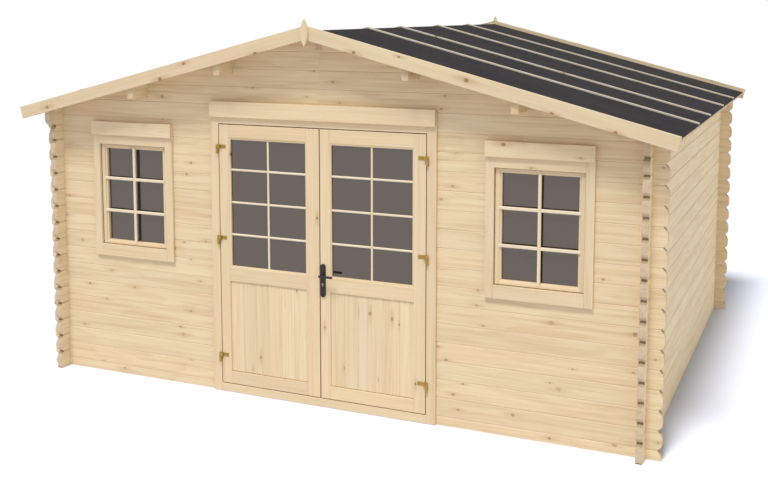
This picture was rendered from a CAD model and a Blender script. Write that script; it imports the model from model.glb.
"""Looks of the wooden garden house: boards, beads, bars and felt as modelled pieces, and
procedural wood, felt, glass and metal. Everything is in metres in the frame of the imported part."""

import math
import random

import bmesh
import bpy
from mathutils import Matrix, Vector


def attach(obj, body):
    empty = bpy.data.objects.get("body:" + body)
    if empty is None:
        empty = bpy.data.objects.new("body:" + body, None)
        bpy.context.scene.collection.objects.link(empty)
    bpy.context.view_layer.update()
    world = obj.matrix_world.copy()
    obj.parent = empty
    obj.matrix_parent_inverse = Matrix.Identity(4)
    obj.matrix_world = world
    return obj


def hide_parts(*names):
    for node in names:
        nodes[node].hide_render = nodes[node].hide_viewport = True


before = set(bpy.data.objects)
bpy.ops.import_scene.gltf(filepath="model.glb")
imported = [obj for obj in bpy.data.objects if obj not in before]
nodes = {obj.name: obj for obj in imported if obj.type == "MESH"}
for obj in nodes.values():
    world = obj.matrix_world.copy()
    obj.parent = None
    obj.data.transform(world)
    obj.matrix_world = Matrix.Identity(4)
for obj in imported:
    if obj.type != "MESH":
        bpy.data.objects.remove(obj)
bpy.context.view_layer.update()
scene = bpy.context.scene
rng = random.Random(41)


# ---------------------------------------------------------------- node helpers

class Tree:
    """Short calls for building a node tree; arguments are sockets or plain values."""

    def __init__(self, tree):
        self.tree = tree
        tree.nodes.clear()

    def new(self, kind, **props):
        node = self.tree.nodes.new(kind)
        for k, v in props.items():
            setattr(node, k, v)
        return node

    def put(self, value, socket):
        if isinstance(value, bpy.types.NodeSocket):
            self.tree.links.new(value, socket)
        elif value is not None:
            socket.default_value = value

    def math(self, op, a, b=None, c=None, clamp=False):
        node = self.new("ShaderNodeMath", operation=op, use_clamp=clamp)
        for i, v in enumerate((a, b, c)):
            self.put(v, node.inputs[i])
        return node.outputs[0]

    def add(self, a, b):
        return self.math("ADD", a, b)

    def sub(self, a, b):
        return self.math("SUBTRACT", a, b)

    def mul(self, a, b):
        return self.math("MULTIPLY", a, b)

    def mad(self, a, b, c):
        return self.math("MULTIPLY_ADD", a, b, c)

    def vmath(self, op, a, b=None):
        node = self.new("ShaderNodeVectorMath", operation=op)
        self.put(a, node.inputs[0])
        if b is not None:
            self.put(b, node.inputs[1])
        return node.outputs[1] if op in ("LENGTH", "DOT_PRODUCT") else node.outputs[0]

    def split(self, v):
        node = self.new("ShaderNodeSeparateXYZ")
        self.put(v, node.inputs[0])
        return node.outputs[0], node.outputs[1], node.outputs[2]

    def join(self, x, y, z):
        node = self.new("ShaderNodeCombineXYZ")
        for i, v in enumerate((x, y, z)):
            self.put(v, node.inputs[i])
        return node.outputs[0]

    def stretch(self, v, sx, sy, sz):
        return self.vmath("MULTIPLY", v, (sx, sy, sz))

    def noise(self, v, scale=1.0, detail=2.0, rough=0.5, distortion=0.0):
        node = self.new("ShaderNodeTexNoise")
        self.put(v, node.inputs["Vector"])
        node.inputs["Scale"].default_value = scale
        node.inputs["Detail"].default_value = detail
        node.inputs["Roughness"].default_value = rough
        node.inputs["Distortion"].default_value = distortion
        return node.outputs["Fac"]

    def white(self, w):
        node = self.new("ShaderNodeTexWhiteNoise", noise_dimensions="1D")
        self.put(w, node.inputs["W"])
        return node.outputs["Value"]

    def ease(self, v, a, b, c=0.0, d=1.0, kind="SMOOTHSTEP"):
        node = self.new("ShaderNodeMapRange", interpolation_type=kind)
        self.put(v, node.inputs["Value"])
        for k, x in zip(("From Min", "From Max", "To Min", "To Max"), (a, b, c, d)):
            self.put(x, node.inputs[k])
        return node.outputs["Result"]

    def mix(self, fac, a, b, blend="MIX"):
        node = self.new("ShaderNodeMix", data_type="RGBA", blend_type=blend)
        self.put(fac, node.inputs[0])
        for v, s in ((a, node.inputs[6]), (b, node.inputs[7])):
            self.put((*v, 1.0) if isinstance(v, tuple) and len(v) == 3 else v, s)
        return node.outputs[2]

    def attribute(self, name, vector=False):
        node = self.new("ShaderNodeAttribute", attribute_type="GEOMETRY", attribute_name=name)
        return node.outputs["Vector"] if vector else node.outputs["Fac"]

    def bump(self, height, distance, strength=1.0):
        node = self.new("ShaderNodeBump")
        node.inputs["Strength"].default_value = strength
        node.inputs["Distance"].default_value = distance
        self.put(height, node.inputs["Height"])
        return node.outputs["Normal"]


def material(name):
    mat = bpy.data.materials.new(name)
    mat.use_nodes = True
    t = Tree(mat.node_tree)
    out = t.new("ShaderNodeOutputMaterial")
    shader = t.new("ShaderNodeBsdfPrincipled")
    t.tree.links.new(shader.outputs[0], out.inputs[0])
    return mat, t, shader


# ---------------------------------------------------------------- wood

LIGHT = (0.815, 0.672, 0.452)
DARK = (0.640, 0.478, 0.286)


def wood(name, source, light=LIGHT, dark=DARK, knots=0.55, knot_dark=1.0, cell=(0.40, 0.105),
         radius=(0.0045, 0.0135), streak=1.0, ring=1.0, tint=0.10, bump=0.0010):
    """Planed softwood. source(t) gives the grain vector (along, across, through, in metres, already
    shifted for each board), a random number for each board, and how far a face is end grain. Log walls
    also give how far a point lies in a joint, the tone of the wood there, and how far an end face looks up."""
    mat, t, shader = material(name)
    grain, rand, end, *more = source(t)
    u, v, w = t.split(grain)

    # the grain wanders a little across the board
    wander = t.noise(t.stretch(grain, 0.8, 4.0, 4.0), 1.0, 2.0)
    v1 = t.mad(t.sub(wander, 0.5), 0.022, v)

    # knots: one in some of the cells of a stretched pattern, round in real metres
    vor = t.new("ShaderNodeTexVoronoi", voronoi_dimensions="2D", feature="F1")
    vor.inputs["Scale"].default_value = 1.0
    vor.inputs["Randomness"].default_value = 0.9
    kx, ky = t.mul(u, 1.0 / cell[0]), t.mul(v, 1.0 / cell[1])
    t.put(t.join(kx, ky, 0.0), vor.inputs["Vector"])
    px, py, _ = t.split(vor.outputs["Position"])
    c1, c2, c3 = t.split(vor.outputs["Color"])
    du = t.mul(t.sub(kx, px), cell[0])
    dv = t.mul(t.sub(ky, py), cell[1])
    there = t.math("GREATER_THAN", c1, 1.0 - knots)
    rad = t.ease(c2, 0.0, 1.0, radius[0], radius[1], "LINEAR")
    rough_edge = t.mad(t.noise(t.stretch(grain, 120.0, 120.0, 120.0), 1.0, 1.0), 0.5, 0.75)
    r_knot = t.math("SQRT", t.add(t.math("POWER", t.mul(du, 0.78), 2.0), t.math("POWER", dv, 2.0)))
    rn = t.math("DIVIDE", t.mul(r_knot, rough_edge), rad)
    core = t.mul(t.ease(rn, 1.08, 0.72), there)
    rim = t.mul(t.mul(t.ease(rn, 0.55, 0.92), t.ease(rn, 1.35, 0.98)), there)
    r_halo = t.math("SQRT", t.add(t.math("POWER", t.mul(du, 0.26), 2.0), t.math("POWER", dv, 2.0)))
    halo = t.mul(t.math("POWER", t.ease(t.math("DIVIDE", r_halo, rad), 3.6, 0.5), 1.6), there)

    # the grain flows round the knots
    r2 = t.add(t.math("POWER", t.mul(du, 0.5), 2.0), t.math("POWER", dv, 2.0))
    q2 = t.mul(rad, rad)
    push = t.mul(t.mul(dv, t.math("DIVIDE", t.mul(q2, 1.5), t.mad(q2, 0.45, r2))), there)
    v2 = t.sub(v1, push)
    flow = t.join(u, v2, w)

    # growth rings about a heart that lies beside each board
    heart_y = t.mad(t.sub(t.white(t.add(rand, 3.1)), 0.5), 0.10, 0.0)
    heart_z = t.mad(t.white(t.add(rand, 7.7)), 0.05, 0.028)
    lv = t.sub(v2, t.mul(t.math("ROUND", t.mul(v2, 1.0 / 0.24)), 0.24))
    rr = t.math("SQRT", t.add(t.math("POWER", t.add(lv, heart_y), 2.0), t.math("POWER", t.add(w, heart_z), 2.0)))
    slow = t.noise(t.stretch(flow, 1.1, 5.0, 5.0), 1.0, 2.0)
    ring_at = t.math("FRACT", t.mad(slow, 5.0, t.mul(rr, 190.0)))
    late = t.mul(t.ease(ring_at, 0.30, 0.88), t.ease(ring_at, 1.0, 0.90))

    fine = t.noise(t.stretch(flow, 5.0, 170.0, 170.0), 1.0, 2.0, 0.6)
    mid = t.noise(t.stretch(flow, 2.3, 78.0, 78.0), 1.0, 3.0, 0.55)
    broad = t.noise(t.stretch(flow, 0.9, 24.0, 24.0), 1.0, 2.0, 0.5)

    shade = t.mul(t.ease(mid, 0.40, 0.70), 0.40 * streak)
    shade = t.mad(t.ease(broad, 0.42, 0.72), 0.32 * streak, shade)
    shade = t.mad(late, 0.22 * ring, shade)
    shade = t.mad(t.sub(fine, 0.5), 0.34 * streak, shade)
    colour = t.mix(t.math("MAXIMUM", shade, 0.0), light, dark)

    # slow changes of tone along a board, and from board to board
    patch = t.noise(t.stretch(grain, 0.9, 3.0, 3.0), 1.0, 2.0)
    colour = t.mix(t.ease(patch, 0.48, 0.80, 0.0, 0.42), colour, (0.79, 0.585, 0.405))
    cool = t.noise(t.vmath("ADD", t.stretch(grain, 0.7, 4.0, 4.0), (31.0, 7.0, 3.0)), 1.0, 2.0)
    colour = t.mix(t.ease(cool, 0.52, 0.80, 0.0, 0.40), colour, (0.815, 0.700, 0.455))
    level = t.mad(t.sub(t.white(t.add(rand, 11.3)), 0.5), tint, 1.0)
    warm = t.mad(t.sub(t.white(t.add(rand, 17.9)), 0.5), tint * 0.45, 1.0)
    colour = t.mix(1.0, colour, t.join(level, t.mul(level, warm), t.mul(level, t.mul(warm, warm))), "MULTIPLY")

    # knots on top
    colour = t.mix(t.mul(halo, 0.42 * knot_dark), colour, (0.50, 0.315, 0.165))
    heart = t.noise(t.join(t.mul(r_knot, 900.0), t.mul(c3, 50.0), 0.0), 1.0, 1.0)
    knot_tone = t.mix(heart, (0.215, 0.105, 0.050), (0.42, 0.235, 0.120))
    depth = t.ease(c3, 0.0, 1.0, 0.42 * knot_dark, 0.92 * knot_dark, "LINEAR")
    colour = t.mix(t.mul(core, depth), colour, knot_tone)
    colour = t.mix(t.mul(t.mul(rim, depth), 0.65), colour, (0.150, 0.070, 0.033))
    rays = t.mad(late, -0.13, 0.90)
    if more:
        seam, dust, up = more
        colour = t.mix(seam, colour, dust)
        rays = t.mul(t.mad(up, -0.38, 0.95), rays)
        cold = t.mad(up, -0.16, 1.06)
        colour = t.mix(end, colour, t.mix(1.0, colour, t.join(rays, t.mul(rays, 0.97), t.mul(rays, cold)), "MULTIPLY"))
    else:
        colour = t.mix(end, colour, t.mix(1.0, colour, t.join(rays, t.mul(rays, 0.965), t.mul(rays, 0.93)), "MULTIPLY"))
    t.put(colour, shader.inputs["Base Color"])

    gloss = t.mad(mid, 0.16, 0.50)
    gloss = t.mad(core, -0.10, gloss)
    t.put(gloss, shader.inputs["Roughness"])
    shader.inputs["Specular IOR Level"].default_value = 0.32
    height = t.mad(fine, 0.55, t.mul(late, 0.30))
    height = t.mad(core, 0.45, height)
    t.put(t.bump(height, bump, 0.55), shader.inputs["Normal"])
    return mat


def by_attribute(t):
    """Boards made here carry their grain, their number and their end faces as attributes."""
    return t.attribute("gc", True), t.attribute("bd"), t.attribute("eg")


def by_log(axis, joint_at, pitch, side=False, extra=None):
    """Log walls: the grain runs along the wall, and each log has its own pattern."""

    def source(t):
        co = t.new("ShaderNodeTexCoord").outputs["Object"]
        x, y, z = t.split(co)
        row = t.mul(t.sub(z, joint_at), 1.0 / pitch)
        number = t.math("FLOOR", row)
        joint = t.math("ROUND", row)
        near = t.mul(t.math("ABSOLUTE", t.sub(row, joint)), pitch)
        if extra is not None:
            number = t.add(number, t.math("GREATER_THAN", z, extra))
            near = t.add(near, t.math("GREATER_THAN", z, extra - 0.04))
            near = t.math("MINIMUM", near, t.math("ABSOLUTE", t.sub(z, extra)))
        if side:
            number = t.mad(t.math("GREATER_THAN", x, 0.0), 41.0, number)
            joint = t.mad(t.math("GREATER_THAN", x, 0.0), 29.0, joint)
        rand = t.white(t.add(number, 0.37 if axis == "X" else 5.41))
        along, through = (x, y) if axis == "X" else (y, x)
        grain = t.join(t.mad(rand, 23.0, along), t.mad(rand, 5.0, z), through)
        n = t.new("ShaderNodeNewGeometry").outputs["Normal"]
        nx, ny, nz = t.split(n)

        # side walls have plain brown joints; on the long walls some joints close up and hardly show
        if axis == "Y":
            low, high, dust = 0.35, 0.75, (0.545, 0.440, 0.315)
        else:
            low, high = 0.15, 0.90
            dust = t.mix(t.ease(nz, -0.2, 0.2), (0.940, 0.810, 0.595), (0.660, 0.545, 0.385))
        seam = t.mul(t.ease(near, 0.0056, 0.0026), t.ease(t.white(t.add(joint, 2.9)), 0.0, 1.0, low, high, "LINEAR"))
        end = t.ease(t.math("ABSOLUTE", nx if axis == "X" else ny), 0.35, 0.65)
        return grain, rand, end, seam, dust, t.ease(nz, 0.25, 0.55)

    return source


def by_block(axis, spread=0.0, number=0.0):
    """Plain timbers of the frame: the grain runs along one axis."""

    def source(t):
        co = t.new("ShaderNodeTexCoord").outputs["Object"]
        x, y, z = t.split(co)
        pick = {"X": (x, z, y), "Y": (y, z, x), "Z": (z, x, y)}[axis]
        across = {"X": z, "Y": x, "Z": x}[axis]
        rand = t.white(t.mad(t.math("FLOOR", t.mul(across, 1.0 / spread)), 1.7, number)) if spread else t.white(number)
        grain = t.join(t.mad(rand, 19.0, pick[0]), t.mad(rand, 3.0, pick[1]), pick[2])
        n = t.new("ShaderNodeNewGeometry").outputs["Normal"]
        nx, ny, nz = t.split(n)
        end = t.ease(t.math("ABSOLUTE", {"X": nx, "Y": ny, "Z": nz}[axis]), 0.55, 0.85)
        return grain, rand, end

    return source


log_front = wood("log_wood_front", by_log("X", 0.06, 0.12, side=True), knots=0.42, knot_dark=0.68,
                 radius=(0.0035, 0.0105), tint=0.045)
log_back = wood("log_wood_back", by_log("X", 0.06, 0.12), knots=0.42, knot_dark=0.68, radius=(0.0035, 0.0105),
                tint=0.045)
log_side = wood("log_wood_side", by_log("Y", 0.0, 0.12, side=True, extra=1.783), knots=0.22, knot_dark=0.55,
                radius=(0.003, 0.008), tint=0.045)
timber_y = wood("roof_timber", by_block("Y", 0.4, 2.3))
timber_floor = wood("floor_timber", by_block("Y", 0.4, 6.1))
joinery = wood("joinery_wood", by_attribute, light=(0.790, 0.640, 0.430), dark=(0.640, 0.476, 0.288),
               knots=0.30, cell=(0.46, 0.09), radius=(0.003, 0.010), streak=0.75, tint=0.07)
trim = wood("trim_wood", by_attribute, light=(0.795, 0.650, 0.440), dark=(0.650, 0.486, 0.298),
            knots=0.36, cell=(0.52, 0.10), radius=(0.004, 0.012), streak=0.85, tint=0.06)
cap_wood = wood("window_header_wood", by_attribute, light=(0.840, 0.690, 0.468), dark=(0.690, 0.518, 0.318),
                knots=0.36, cell=(0.52, 0.10), radius=(0.004, 0.012), streak=0.85, tint=0.06)
barge = wood("bargeboard_wood", by_attribute, light=(0.770, 0.625, 0.424), dark=(0.630, 0.470, 0.290),
             knots=0.85, knot_dark=1.15, cell=(0.42, 0.12), radius=(0.0055, 0.0105), streak=0.8, tint=0.05)
panel_wood = wood("panel_wood", by_attribute, light=(0.825, 0.685, 0.470), dark=(0.650, 0.492, 0.300),
                  knots=0.38, knot_dark=0.85, cell=(0.36, 0.10), radius=(0.003, 0.0095), streak=0.85, tint=0.09)
roof_wood = wood("roof_board_wood", by_attribute, knots=0.5, tint=0.10)
bar_wood = wood("bar_wood", by_attribute, light=(0.840, 0.745, 0.575), dark=(0.720, 0.600, 0.420), knots=0.0,
                streak=0.7, tint=0.04)
batten_wood = wood("batten_wood", by_attribute, light=(0.610, 0.555, 0.450), dark=(0.480, 0.425, 0.330),
                   knots=0.25, cell=(0.5, 0.05), radius=(0.003, 0.007), tint=0.06)
floor_wood = wood("floor_board_wood", by_attribute, light=(0.780, 0.635, 0.425), knots=0.5, tint=0.12)


# ---------------------------------------------------------------- felt, glass, metal

def felt_material():
    mat, t, s = material("roof_felt")
    co = t.new("ShaderNodeTexCoord").outputs["Object"]
    grit = t.new("ShaderNodeTexVoronoi", voronoi_dimensions="3D", feature="F1")
    grit.inputs["Scale"].default_value = 420.0
    t.put(co, grit.inputs["Vector"])
    g1, g2, _ = t.split(grit.outputs["Color"])
    cloud = t.noise(t.stretch(co, 1.0, 1.0, 1.0), 2.6, 4.0, 0.6)
    mottle = t.noise(co, 26.0, 3.0, 0.6)
    colour = t.mix(t.ease(cloud, 0.35, 0.70), (0.019, 0.017, 0.020), (0.029, 0.025, 0.026))
    colour = t.mix(t.ease(mottle, 0.45, 0.75, 0.0, 0.6), colour, (0.015, 0.014, 0.018))
    colour = t.mix(t.ease(g1, 0.55, 1.0, 0.0, 0.55), colour, (0.048, 0.044, 0.046))
    colour = t.mix(t.ease(g2, 0.75, 1.0, 0.0, 0.7), colour, (0.009, 0.008, 0.010))
    t.put(colour, s.inputs["Base Color"])
    t.put(t.mad(mottle, 0.18, 0.76), s.inputs["Roughness"])
    s.inputs["Specular IOR Level"].default_value = 0.18
    h = t.add(t.mul(grit.outputs["Distance"], -1.0), t.mul(mottle, 0.6))
    t.put(t.bump(h, 0.0012, 0.6), s.inputs["Normal"])
    return mat


def glass_material():
    mat, t, s = material("window_glass")
    co = t.new("ShaderNodeTexCoord").outputs["Object"]
    haze = t.noise(t.stretch(co, 1.0, 1.0, 1.0), 1.7, 2.0)
    colour = t.mix(haze, (0.046, 0.030, 0.024), (0.058, 0.040, 0.032))
    t.put(colour, s.inputs["Base Color"])
    t.put(t.ease(haze, 0.3, 0.7, 0.010, 0.030, "LINEAR"), s.inputs["Roughness"])
    s.inputs["Transmission Weight"].default_value = 0.45
    s.inputs["IOR"].default_value = 2.3
    s.inputs["Specular Tint"].default_value = (0.965, 0.90, 0.85, 1.0)
    h = t.noise(t.stretch(co, 1.0, 1.0, 1.0), 2.2, 1.0)
    t.put(t.bump(h, 0.0015, 0.25), s.inputs["Normal"])
    return mat


def metal_material(name, a, b, metallic, rough, scale=60.0):
    mat, t, s = material(name)
    co = t.new("ShaderNodeTexCoord").outputs["Object"]
    n1 = t.noise(co, scale, 3.0, 0.6)
    n2 = t.noise(t.stretch(co, 1.0, 1.0, 6.0), scale * 6.0, 2.0, 0.6)
    t.put(t.mix(t.ease(n1, 0.35, 0.68), a, b), s.inputs["Base Color"])
    s.inputs["Metallic"].default_value = metallic
    t.put(t.mad(n1, 0.16, t.mad(n2, 0.10, rough - 0.12)), s.inputs["Roughness"])
    t.put(t.bump(n2, 0.0004, 0.35), s.inputs["Normal"])
    return mat


felt = felt_material()
glass = glass_material()
brass = metal_material("brass_plate", (0.46, 0.300, 0.078), (0.57, 0.395, 0.122), 0.85, 0.36)
black = metal_material("black_metal", (0.016, 0.014, 0.014), (0.026, 0.023, 0.022), 0.0, 0.38, 90.0)
steel = metal_material("lock_steel", (0.36, 0.34, 0.31), (0.46, 0.44, 0.40), 0.9, 0.34)


# ---------------------------------------------------------------- pieces made of boards

def mm(*v):
    return Vector([x / 1000.0 for x in v])


class Piece:
    """Several boards as one mesh. Each board has bevelled edges, its own grain and number."""

    def __init__(self, name, mat):
        self.name, self.mats = name, [mat]
        self.co, self.faces, self.gc, self.bd, self.eg, self.mi = [], [], [], [], [], []
        self.smooth = []

    def take(self, bm, to_grain, along, number=None, slot=0, smooth=False):
        """Adds a bmesh. to_grain turns a point into (along, across, through)."""
        number = rng.random() if number is None else number
        shift = Vector((number * 31.0, (number * 97.0) % 7.0, 0.0))
        base = len(self.co)
        bm.verts.index_update()
        bm.normal_update()
        for v in bm.verts:
            self.co.append(v.co[:])
            self.gc.append((to_grain(v.co) + shift)[:])
            self.bd.append(number)
        for f in bm.faces:
            self.faces.append([base + v.index for v in f.verts])
            self.eg.append(1.0 if abs(f.normal.dot(along)) > 0.7 else 0.0)
            self.mi.append(slot)
            self.smooth.append(smooth)
        bm.free()

    def board(self, a, b, axis, bevel=2.0, number=None):
        """A straight board between two corners in millimetres, its grain along one axis."""
        lo = mm(*[min(p, q) for p, q in zip(a, b)])
        hi = mm(*[max(p, q) for p, q in zip(a, b)])
        bm = bmesh.new()
        bmesh.ops.create_cube(bm, size=1.0)
        size = hi - lo
        for v in bm.verts:
            v.co = Vector([lo[i] + (v.co[i] + 0.5) * size[i] for i in range(3)])
        if bevel:
            w = min(bevel / 1000.0, min(size) * 0.4)
            bmesh.ops.bevel(bm, geom=list(bm.edges), offset=w, segments=2, profile=0.6, affect="EDGES")
        k = "XYZ".index(axis)
        rest = [i for i in range(3) if i != k]
        if size[rest[0]] < size[rest[1]]:
            rest.reverse()
        along = Vector([1.0 if i == k else 0.0 for i in range(3)])
        mid = (lo + hi) / 2
        self.take(bm, lambda p: Vector((p[k], p[rest[0]] - mid[rest[0]], p[rest[1]] - mid[rest[1]])), along, number)

    def prism(self, outline, lo, hi, normal, along, bevel=2.0, number=None):
        """An outline in the plane square to one axis, between lo and hi along it, in millimetres.
        along is the direction of the grain."""
        k = "XYZ".index(normal)
        plane = {0: (1, 2), 1: (0, 2), 2: (0, 1)}[k]
        bm = bmesh.new()

        def at(p, d):
            q = [0.0, 0.0, 0.0]
            q[plane[0]], q[plane[1]], q[k] = p[0] / 1000.0, p[1] / 1000.0, d / 1000.0
            return Vector(q)

        low = [bm.verts.new(at(p, lo)) for p in outline]
        high = [bm.verts.new(at(p, hi)) for p in outline]
        bm.faces.new(low)
        bm.faces.new(high)
        n = len(outline)
        for i in range(n):
            bm.faces.new([low[i], low[(i + 1) % n], high[(i + 1) % n], high[i]])
        bmesh.ops.recalc_face_normals(bm, faces=list(bm.faces))
        if bevel:
            sharp = [e for e in bm.edges if len(e.link_faces) == 2 and e.calc_face_angle() > 0.5]
            bmesh.ops.bevel(bm, geom=sharp, offset=bevel / 1000.0, segments=2, profile=0.6, affect="EDGES", clamp_overlap=True)
        axis_n = Vector([1.0 if i == k else 0.0 for i in range(3)])
        a = Vector(along).normalized()
        if abs(a.dot(axis_n)) > 0.9:
            side = Vector([1.0 if i == plane[0] else 0.0 for i in range(3)])
            deep = Vector([1.0 if i == plane[1] else 0.0 for i in range(3)])
        else:
            deep = axis_n
            side = a.cross(deep).normalized()
        mid = sum((v.co for v in bm.verts), Vector()) / len(bm.verts)
        self.take(bm, lambda p: Vector((p.dot(a), (p - mid).dot(side), (p - mid).dot(deep))), a, number)

    def build(self, body, replaces=()):
        mesh = bpy.data.meshes.new(self.name)
        mesh.from_pydata(self.co, [], self.faces)
        mesh.attributes.new("gc", "FLOAT_VECTOR", "POINT").data.foreach_set("vector", [x for g in self.gc for x in g])
        mesh.attributes.new("bd", "FLOAT", "POINT").data.foreach_set("value", self.bd)
        mesh.attributes.new("eg", "FLOAT", "FACE").data.foreach_set("value", self.eg)
        for m in self.mats:
            mesh.materials.append(m)
        mesh.polygons.foreach_set("material_index", self.mi)
        mesh.polygons.foreach_set("use_smooth", self.smooth)
        mesh.validate()
        mesh.update()
        obj = bpy.data.objects.new(self.name, mesh)
        scene.collection.objects.link(obj)
        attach(obj, body)
        if replaces:
            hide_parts(*replaces)
        return obj


# ---------------------------------------------------------------- sizes of the part, in millimetres

FRONT, FACE = -1750.0, -1770.0
RIDGE, FALL = 2509.0, 0.2565
SLOPE = math.atan(FALL)
CS, SN = math.cos(SLOPE), math.sin(SLOPE)
ROOF_Y, ROOF_HALF = 1920.0, 2294.0
EAVE = ROOF_HALF - 22.0
BARGE_W = 86.0


def roof(x):
    return RIDGE - FALL * abs(x)


def strip(s, d0, d1, x0, x1):
    return [(s * x0, roof(x0) - d0), (s * x1, roof(x1) - d0), (s * x1, roof(x1) - d1), (s * x0, roof(x0) - d1)]


# ---------------------------------------------------------------- roof

for s, side in ((-1, "left"), (1, "right")):
    down = (s * CS, 0.0, -SN)

    boards = Piece("roof_planks_" + side, roof_wood)
    count = 40
    step = 2 * ROOF_Y / count
    for i in range(count):
        y = -ROOF_Y + i * step
        boards.prism(strip(s, 35.05, 54.05, 0.0, EAVE - 4), y + 0.15, y + step - 0.15, "Y", down, 2.2)
    boards.build("house", ["roof_boards_" + side])

    battens = Piece("roof_laths_" + side, batten_wood)
    for y in (-989.0, -394.0, 403.0, 1151.0):
        battens.prism(strip(s, 21.0, 31.95, 0.5, EAVE - 3), y - 16, y + 16, "Y", down, 1.8)
    battens.build("house", ["roof_battens_" + side])

    for e, end in ((-1, "front"), (1, "back")):
        b = Piece(f"{end}_fascia_{side}", barge)
        outline = [(0.0, RIDGE), (s * ROOF_HALF, roof(ROOF_HALF)),
                   (s * (ROOF_HALF - BARGE_W * SN), roof(ROOF_HALF) - BARGE_W * CS),
                   (0.0, RIDGE - BARGE_W / CS)]
        b.prism(outline, e * ROOF_Y, e * (ROOF_Y + 20), "Y", down, 2.5)
        b.build("house", [f"{end}_bargeboard_{side}"])

for e, end in ((-1, "front"), (1, "back")):
    f = Piece(f"{end}_ridge_board", barge)
    zc = RIDGE - 44.5
    half = math.sqrt(162.0 ** 2 - 137.0 ** 2)
    reach = math.asin(half / 162.0)
    arc = [(-137 + 162 * math.cos(a), zc + 162 * math.sin(a)) for a in [reach * (1 - 2 * i / 14) for i in range(15)]]
    arc += [(-x, z) for x, z in reversed(arc[1:-1])]
    f.prism(arc, e * 1940, e * 1958, "Y", (0, 0, 1), 2.5)
    f.build("house", [f"{end}_finial"])


def felt_sheet(s, side):
    """Felt on one slope: it lies a little uneven between the battens."""
    nx, ny = 76, 150
    laths = (-989.0, -394.0, 403.0, 1151.0)
    phase = [(rng.uniform(0.6, 2.6), rng.uniform(2.0, 6.5), rng.uniform(0, 6.28)) for _ in range(9)]
    co, faces = [], []
    top, low = {}, {}
    for i in range(nx + 1):
        x = EAVE * i / nx
        for j in range(ny + 1):
            y = -ROOF_Y + 2 * ROOF_Y * j / ny
            wave = sum(math.sin(a * x / 1000.0 + b * y / 1000.0 + c) for a, b, c in phase) / 9.0
            fine = sum(math.sin(3.1 * a * x / 1000.0 - 2.3 * b * y / 1000.0 + 2 * c) for a, b, c in phase[:5]) / 5.0
            calm = min([1.0] + [abs(y - q) / 170.0 for q in laths] + [(ROOF_Y - abs(y)) / 120.0, x / 150.0, (EAVE - x) / 120.0 + 0.25])
            calm = calm * calm * (3 - 2 * calm)
            lift = (0.9 + wave * 1.6 + fine * 0.9) * calm
            top[i, j] = len(co)
            co.append((s * x / 1000.0, y / 1000.0, (roof(x) - 32.0 + max(0.0, lift)) / 1000.0))
            low[i, j] = len(co)
            co.append((s * x / 1000.0, y / 1000.0, (roof(x) - 35.0) / 1000.0))
    for i in range(nx):
        for j in range(ny):
            faces.append([top[i, j], top[i + 1, j], top[i + 1, j + 1], top[i, j + 1]])
            faces.append([low[i, j], low[i, j + 1], low[i + 1, j + 1], low[i + 1, j]])
    for i in range(nx):
        for j in (0, ny):
            q = [top[i, j], low[i, j], low[i + 1, j], top[i + 1, j]]
            faces.append(q if j == 0 else q[::-1])
    for j in range(ny):
        for i in (0, nx):
            q = [top[i, j], top[i, j + 1], low[i, j + 1], low[i, j]]
            faces.append(q if i == 0 else q[::-1])
    mesh = bpy.data.meshes.new("felt_sheet_" + side)
    mesh.from_pydata(co, [], faces)
    bm = bmesh.new()
    bm.from_mesh(mesh)
    bmesh.ops.recalc_face_normals(bm, faces=list(bm.faces))
    bm.to_mesh(mesh)
    bm.free()
    mesh.materials.append(felt)
    mesh.polygons.foreach_set("use_smooth", [True] * len(mesh.polygons))
    mesh.set_sharp_from_angle(angle=0.7)
    mesh.update()
    obj = bpy.data.objects.new("felt_sheet_" + side, mesh)
    scene.collection.objects.link(obj)
    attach(obj, "house")
    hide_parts("roof_felt_" + side)


felt_sheet(-1, "left")
felt_sheet(1, "right")


# ---------------------------------------------------------------- floor

planks = Piece("floor_planks", floor_wood)
count = 30
step = (1705.0 + 1680.0) / count
for i in range(count):
    y = -1680.0 + i * step
    planks.board((-2070, y + 0.2, 39), (2070, y + step - 0.2, 57), "X", 1.8)
planks.build("house", ["floor_deck"])


# ---------------------------------------------------------------- door frame

frame_wood = Piece("door_lining", joinery)
for s in (-1, 1):
    outline = [(s * 751, FACE), (s * 813, FACE), (s * 813, FRONT), (s * 790, FRONT), (s * 790, -1690), (s * 751, -1690)]
    frame_wood.prism(outline, 0, 1920, "Z", (0, 0, 1), 2.0)
    frame_wood.board((s * 739, -1724, 69), (s * 752, -1690, 1839), "Z", 2.0)
frame_wood.build("house", ["door_jambs"])

head = Piece("door_lintel", joinery)
head.board((-751, FACE, 1851), (751, -1690, 1920), "X", 2.0)
head.board((-751, -1724, 1839), (751, -1690, 1852), "X", 2.0)
head.board((-813, FACE, 1920), (813, FRONT, 1996), "X", 2.0)
head.build("house", ["door_head"])

sill = Piece("door_threshold", joinery)
sill.board((-751, FACE, 0), (751, -1690, 57), "X", 3.0)
sill.board((-751, -1724, 56), (751, -1690, 69), "X", 2.0)
sill.build("house", ["door_sill"])

top_board = Piece("door_cap_board", trim)
top_board.board((-809, -1790, 1896), (809, FACE, 2000), "X", 2.5)
top_board.build("house", ["door_header"])


# ---------------------------------------------------------------- door leaves

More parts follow.
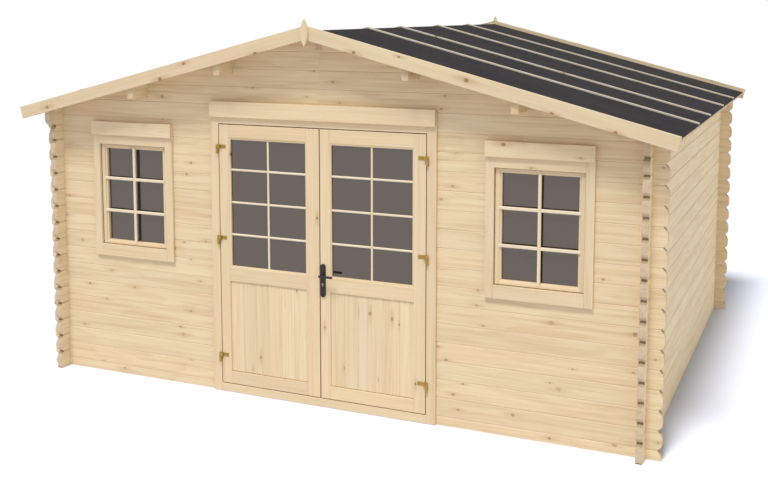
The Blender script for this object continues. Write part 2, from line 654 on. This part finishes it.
def bead_frame(piece, x0, x1, z0, z1, w, y_wall, y_glass):
    """A glazing bead round an opening: sloped from the wood down to the glass, mitred at the corners.
    w gives its width at the left, right, bottom and top."""
    wl, wr, wb, wt = w
    ends = {
        "L": [(x0, z0), (x0, z1), (x0 + wl, z1 - wt), (x0 + wl, z0 + wb)],
        "R": [(x1, z0), (x1, z1), (x1 - wr, z1 - wt), (x1 - wr, z0 + wb)],
        "B": [(x0, z0), (x1, z0), (x1 - wr, z0 + wb), (x0 + wl, z0 + wb)],
        "T": [(x0, z1), (x1, z1), (x1 - wr, z1 - wt), (x0 + wl, z1 - wt)],
    }
    for key, (a, b, c, d) in ends.items():
        bm = bmesh.new()
        y_in = y_wall + (y_glass - y_wall) * 0.2
        pts = [(a, y_wall), (b, y_wall), (c, y_in), (d, y_in), (a, y_glass), (b, y_glass), (c, y_glass), (d, y_glass)]
        vs = [bm.verts.new(mm(p[0], y, p[1])) for p, y in pts]
        for q in ((0, 1, 2, 3), (4, 5, 6, 7), (0, 1, 5, 4), (1, 2, 6, 5), (2, 3, 7, 6), (3, 0, 4, 7)):
            bm.faces.new([vs[i] for i in q])
        bmesh.ops.recalc_face_normals(bm, faces=list(bm.faces))
        k = 2 if key in "LR" else 0
        along = Vector((0, 0, 1)) if key in "LR" else Vector((1, 0, 0))
        m = 0 if key in "LR" else 2
        c0 = (a[0] + c[0]) / 2000.0 if key in "LR" else (a[1] + c[1]) / 2000.0
        piece.take(bm, lambda p, k=k, m=m, c0=c0: Vector((p[k], p[m] - c0, p[1] + 1.75)), along)


def bars(piece, xs, zs, x0, x1, z0, z1, y0, y1, width):
    """Bars that divide the glass: the upright ones whole, the level ones between them."""
    h = width / 2.0
    cut = min(3.5, abs(y1 - y0) * 0.45)
    yf, yb = y0, y1
    s = 1 if yb > yf else -1

    def profile(c):
        return [(c - h + cut, yf), (c + h - cut, yf), (c + h, yf + s * cut), (c + h, yb), (c - h, yb), (c - h, yf + s * cut)]

    for x in xs:
        piece.prism(profile(x), z0, z1, "Z", (0, 0, 1), 0.6)
    edges = [x0] + [v for x in xs for v in (x - h, x + h)] + [x1]
    for z in zs:
        for i in range(0, len(edges), 2):
            a, b = edges[i], edges[i + 1]
            piece.prism([(y, q) for q, y in profile(z)], a, b, "X", (1, 0, 0), 0.6)


GLASS_Y = (-1752.0, -1748.0)
LEAVES = {
    "left": dict(x0=-745, x1=4, sl=-674, sr=-90, gl=-661, gr=-97, bar=-379),
    "right": dict(x0=12, x1=745, sl=82, sr=666, gl=91, gr=655, bar=373),
}
for side, d in LEAVES.items():
    body = side + "_leaf"
    f = Piece(side + "_leaf_joinery", joinery)
    f.board((d["x0"], FACE, 63), (d["sl"], -1730, 1845), "Z", 1.6)
    f.board((d["sr"], FACE, 63), (d["x1"], -1730, 1845), "Z", 1.6)
    f.board((d["sl"], FACE, 1757), (d["sr"], -1730, 1845), "X", 1.6)
    f.board((d["sl"], FACE, 780), (d["sr"], -1730, 873), "X", 1.6)
    f.board((d["sl"], FACE, 63), (d["sr"], -1730, 148), "X", 1.6)
    w = (d["gl"] - d["sl"], d["sr"] - d["gr"], 12, 12)
    bead_frame(f, d["sl"], d["sr"], 873, 1757, w, -1767.5, GLASS_Y[0])
    bead_frame(f, d["sl"], d["sr"], 873, 1757, w, -1732.5, GLASS_Y[1])
    f.build(body, [body + "_frame"])

    p = Piece(side + "_leaf_boards", panel_wood)
    width = (d["sr"] - d["sl"]) / 6.0
    for i in range(6):
        x = d["sl"] + i * width
        p.board((x + 0.1, -1761, 151), (x + width - 0.1, -1743, 780), "Z", 2.2)
    p.build(body, [body + "_panel"])

    g = Piece(side + "_leaf_bars", bar_wood)
    bars(g, [d["bar"]], [1541, 1320, 1100], d["gl"], d["gr"], 885, 1745, -1760, GLASS_Y[0], 14)
    bars(g, [d["bar"]], [1541, 1320, 1100], d["gl"], d["gr"], 885, 1745, -1740, GLASS_Y[1], 14)
    g.build(body, ())


# ---------------------------------------------------------------- windows

caps = Piece("window_cap_boards", cap_wood)
for s, side in ((-1, "left"), (1, "right")):
    c = s * 1461.0
    caps.board((c - 334, -1788, 1732), (c + 334, FACE, 1828), "X", 2.5)

    k = Piece("window_trim_" + side, trim)
    k.board((c - 332, FACE, 862), (c - 278, FRONT, 1822), "Z", 2.2)
    k.board((c + 278, FACE, 862), (c + 332, FRONT, 1822), "Z", 2.2)
    k.board((c - 278, FACE, 862), (c + 278, FRONT, 945), "X", 2.2)
    k.board((c - 278, FACE, 1665), (c + 278, FRONT, 1822), "X", 2.2)
    k.build("house", ["window_casing_" + side])

    h = Piece("window_frame_" + side, joinery)
    for a in (-1, 1):
        h.board((c + a * 290, -1738, 933), (c + a * 274, -1706, 1677), "Z", 1.2)
        h.board((c + a * 274, FRONT, 949), (c + a * 248, -1706, 1661), "Z", 1.8)
    h.board((c - 274, -1738, 933), (c + 274, -1706, 949), "X", 1.2)
    h.board((c - 274, -1738, 1661), (c + 274, -1706, 1677), "X", 1.2)
    h.board((c - 248, FRONT, 949), (c + 248, -1706, 964), "X", 1.8)
    h.board((c - 248, FRONT, 1646), (c + 248, -1706, 1661), "X", 1.8)
    bead_frame(h, c - 248, c + 248, 964, 1646, (12, 12, 12, 12), -1744, -1720)
    bead_frame(h, c - 248, c + 248, 964, 1646, (12, 12, 12, 12), -1708, -1716)
    h.build("house", ["window_sash_" + side])

    b = Piece("window_bars_" + side, bar_wood)
    bars(b, [c], [1420, 1189], c - 251, c + 251, 961, 1649, -1753, -1740, 20)
    b.build("house", ())
caps.build("house", ["window_headers"])


# ---------------------------------------------------------------- screws and lock

def screw(piece, at, direction, r, h, slot=0):
    """A domed screw head with a cross cut in it."""
    d = Vector(direction).normalized()
    a = d.orthogonal().normalized()
    b = d.cross(a)
    bm = bmesh.new()
    rings = [(1.0, 0.0), (1.0, 0.25), (0.86, 0.72), (0.55, 0.95)]
    loops = []
    for q, z in rings:
        loops.append([bm.verts.new(mm(*at) + (a * math.cos(t) + b * math.sin(t)) * (r * q / 1000.0) + d * (h * z / 1000.0))
                      for t in [2 * math.pi * i / 16 for i in range(16)]])
    inner = []
    for i in range(16):
        deep = 0.35 if i % 4 == 0 else 1.0
        t = 2 * math.pi * i / 16
        inner.append(bm.verts.new(mm(*at) + (a * math.cos(t) + b * math.sin(t)) * (r * 0.30 / 1000.0) + d * (h * deep / 1000.0)))
    loops.append(inner)
    for l0, l1 in zip(loops, loops[1:]):
        for i in range(16):
            bm.faces.new([l0[i], l0[(i + 1) % 16], l1[(i + 1) % 16], l1[i]])
    bm.faces.new(list(reversed(loops[0])))
    centre = bm.verts.new(mm(*at) + d * (h * 0.35 / 1000.0))
    for i in range(16):
        bm.faces.new([inner[i], inner[(i + 1) % 16], centre])
    bmesh.ops.recalc_face_normals(bm, faces=list(bm.faces))
    piece.take(bm, lambda p: p.copy(), d, 0.5, slot, smooth=False)


for side, s in (("left", -1), ("right", 1)):
    k = Piece(side + "_hinge_screws", brass)
    for z in (1710, 1089, 273):
        for dx in (14, 36):
            screw(k, (s * (745 - dx), -1773.0, z - 13), (0, -1, 0), 4.0, 1.6)
    k.build(side + "_leaf", ())

lock = Piece("lock_cylinder", steel)


def profile_cylinder(y, direction):
    """The end of a key cylinder: a round top with a narrow foot, and a key slot."""
    bm = bmesh.new()
    xc, zc, r = 32.0, 832.0, 7.5
    pts = [(xc + r * math.cos(t), zc + r * math.sin(t)) for t in [math.radians(-55 + 290 * i / 20) for i in range(21)]]
    pts += [(xc - 4.2, zc - 15), (xc - 2.2, zc - 17), (xc + 2.2, zc - 17), (xc + 4.2, zc - 15)]
    a = [bm.verts.new(mm(x, y, z)) for x, z in pts]
    b = [bm.verts.new(mm(x, y + 3.0 * direction, z)) for x, z in pts]
    n = len(pts)
    for i in range(n):
        bm.faces.new([a[i], a[(i + 1) % n], b[(i + 1) % n], b[i]])
    bm.faces.new(a)
    bm.faces.new(b)
    bmesh.ops.recalc_face_normals(bm, faces=list(bm.faces))
    rim = [e for e in bm.edges if e.calc_face_angle() > 0.8]
    bmesh.ops.bevel(bm, geom=rim, offset=0.0006, segments=2, profile=0.6, affect="EDGES")
    lock.take(bm, lambda p: p.copy(), Vector((0, 1, 0)), 0.5, 0)
    key = bmesh.new()
    bmesh.ops.create_cube(key, size=1.0)
    yy = y + 3.05 * direction
    for v in key.verts:
        v.co = mm(xc + v.co.x * 1.6, yy + v.co.y * 0.5, zc + v.co.z * 8.0)
    bmesh.ops.bevel(key, geom=list(key.edges), offset=0.0002, segments=1, affect="EDGES")
    lock.take(key, lambda p: p.copy(), Vector((0, 1, 0)), 0.5, 1)


lock.mats.append(black)
profile_cylinder(-1778.0, -1)
profile_cylinder(-1722.0, 1)
lock.build("right_leaf", ())

plate_screws = Piece("lock_screws", black)
for z in (758, 952):
    screw(plate_screws, (32, -1778.0, z), (0, -1, 0), 3.6, 1.4)
    screw(plate_screws, (32, -1722.0, z), (0, 1, 0), 3.6, 1.4)
plate_screws.build("right_leaf", ())


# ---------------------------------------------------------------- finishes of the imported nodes

FINISH = {
    "front_wall_left": log_front, "front_wall_right": log_front, "front_gable": log_front, "back_wall": log_back,
    "left_wall": log_side, "right_wall": log_side, "purlins": timber_y, "floor_bearers": timber_floor,
    "left_leaf_glass": glass, "right_leaf_glass": glass, "window_glass": glass,
    "hinge_pins_left": brass, "hinge_pins_right": brass, "left_leaf_hinges": brass, "right_leaf_hinges": brass,
    "lock_plates": black, "lever_handle": black,
}
SPARE = {"floor_deck": floor_wood}
for name, obj in nodes.items():
    mat = FINISH.get(name, SPARE.get(name, joinery))
    if not obj.data.materials:
        obj.data.materials.append(mat)
    for i in range(len(obj.material_slots)):
        obj.material_slots[i].material = mat


# ---------------------------------------------------------------- stage, light, camera

bpy.ops.mesh.primitive_plane_add(size=120.0, location=(0.0, 0.0, -0.0005))
floor = bpy.context.object
floor.name = "stage_floor"
fmat, ft, fs = material("stage_white")
fco = ft.new("ShaderNodeTexCoord").outputs["Object"]
seen = ft.mix(ft.noise(fco, 0.35, 2.0), (0.506, 0.521, 0.578), (0.514, 0.529, 0.586))
ft.put(ft.mix(ft.new("ShaderNodeLightPath").outputs["Is Camera Ray"], (0.405, 0.395, 0.392), seen), fs.inputs["Base Color"])
fs.inputs["Roughness"].default_value = 0.95
fs.inputs["Specular IOR Level"].default_value = 0.1
floor.data.materials.append(fmat)

world = bpy.data.worlds.new("studio")
world.use_nodes = True
wt = Tree(world.node_tree)
w_out = wt.new("ShaderNodeOutputWorld")
w_bg = wt.new("ShaderNodeBackground")
w_bg.inputs["Color"].default_value = (1.0, 0.995, 0.99, 1.0)
w_bg.inputs["Strength"].default_value = 0.57
w_seen = wt.new("ShaderNodeBackground")
w_seen.inputs["Color"].default_value = (1.0, 1.0, 1.0, 1.0)
w_seen.inputs["Strength"].default_value = 1.0
w_mix = wt.new("ShaderNodeMixShader")
w_path = wt.new("ShaderNodeLightPath")
wt.tree.links.new(w_path.outputs["Is Camera Ray"], w_mix.inputs[0])
wt.tree.links.new(w_bg.outputs[0], w_mix.inputs[1])
wt.tree.links.new(w_seen.outputs[0], w_mix.inputs[2])
wt.tree.links.new(w_mix.outputs[0], w_out.inputs[0])
scene.world = world


def sun(name, azimuth, elevation, strength, angle, colour=(1.0, 1.0, 1.0)):
    """A distant soft light. azimuth 0 is straight in front of the house, positive to its right."""
    data = bpy.data.lights.new(name, "SUN")
    data.energy, data.angle, data.color = strength, math.radians(angle), colour
    obj = bpy.data.objects.new(name, data)
    scene.collection.objects.link(obj)
    a, e = math.radians(azimuth), math.radians(elevation)
    to_light = Vector((math.sin(a) * math.cos(e), -math.cos(a) * math.cos(e), math.sin(e)))
    obj.rotation_euler = to_light.to_track_quat("Z", "Y").to_euler()
    return obj


key = sun("key_light", -7.0, 62.0, 2.14, 16.0, (1.0, 0.985, 0.96))
fill = sun("fill_light", 85.0, 25.0, 0.71, 60.0)
below = sun("floor_light", -2.8, 62.0, 5.15, 12.5)

# the floor has a stronger key light of its own, so that the shadow on it is dark at the wall and fades out
apart = bpy.data.collections.new("all_but_floor")
apart.objects.link(floor)
for lamp in (key, fill):
    lamp.light_linking.receiver_collection = apart
apart.collection_objects[0].light_linking.link_state = "EXCLUDE"
only = bpy.data.collections.new("floor_only")
only.objects.link(floor)
below.light_linking.receiver_collection = only

cam_data = bpy.data.cameras.new("camera")
cam_data.sensor_width = 36.0
cam_data.lens = 49.737
cam_data.shift_y = -0.15
cam_data.clip_start, cam_data.clip_end = 0.05, 400.0
cam = bpy.data.objects.new("camera", cam_data)
cam.location = (3.09678, -7.80664, 2.59710)
cam.rotation_euler = (math.radians(83.6801), 0.0, math.radians(23.5717))
scene.collection.objects.link(cam)
scene.camera = cam

scene.view_settings.view_transform = "Standard"
scene.view_settings.look = "None"
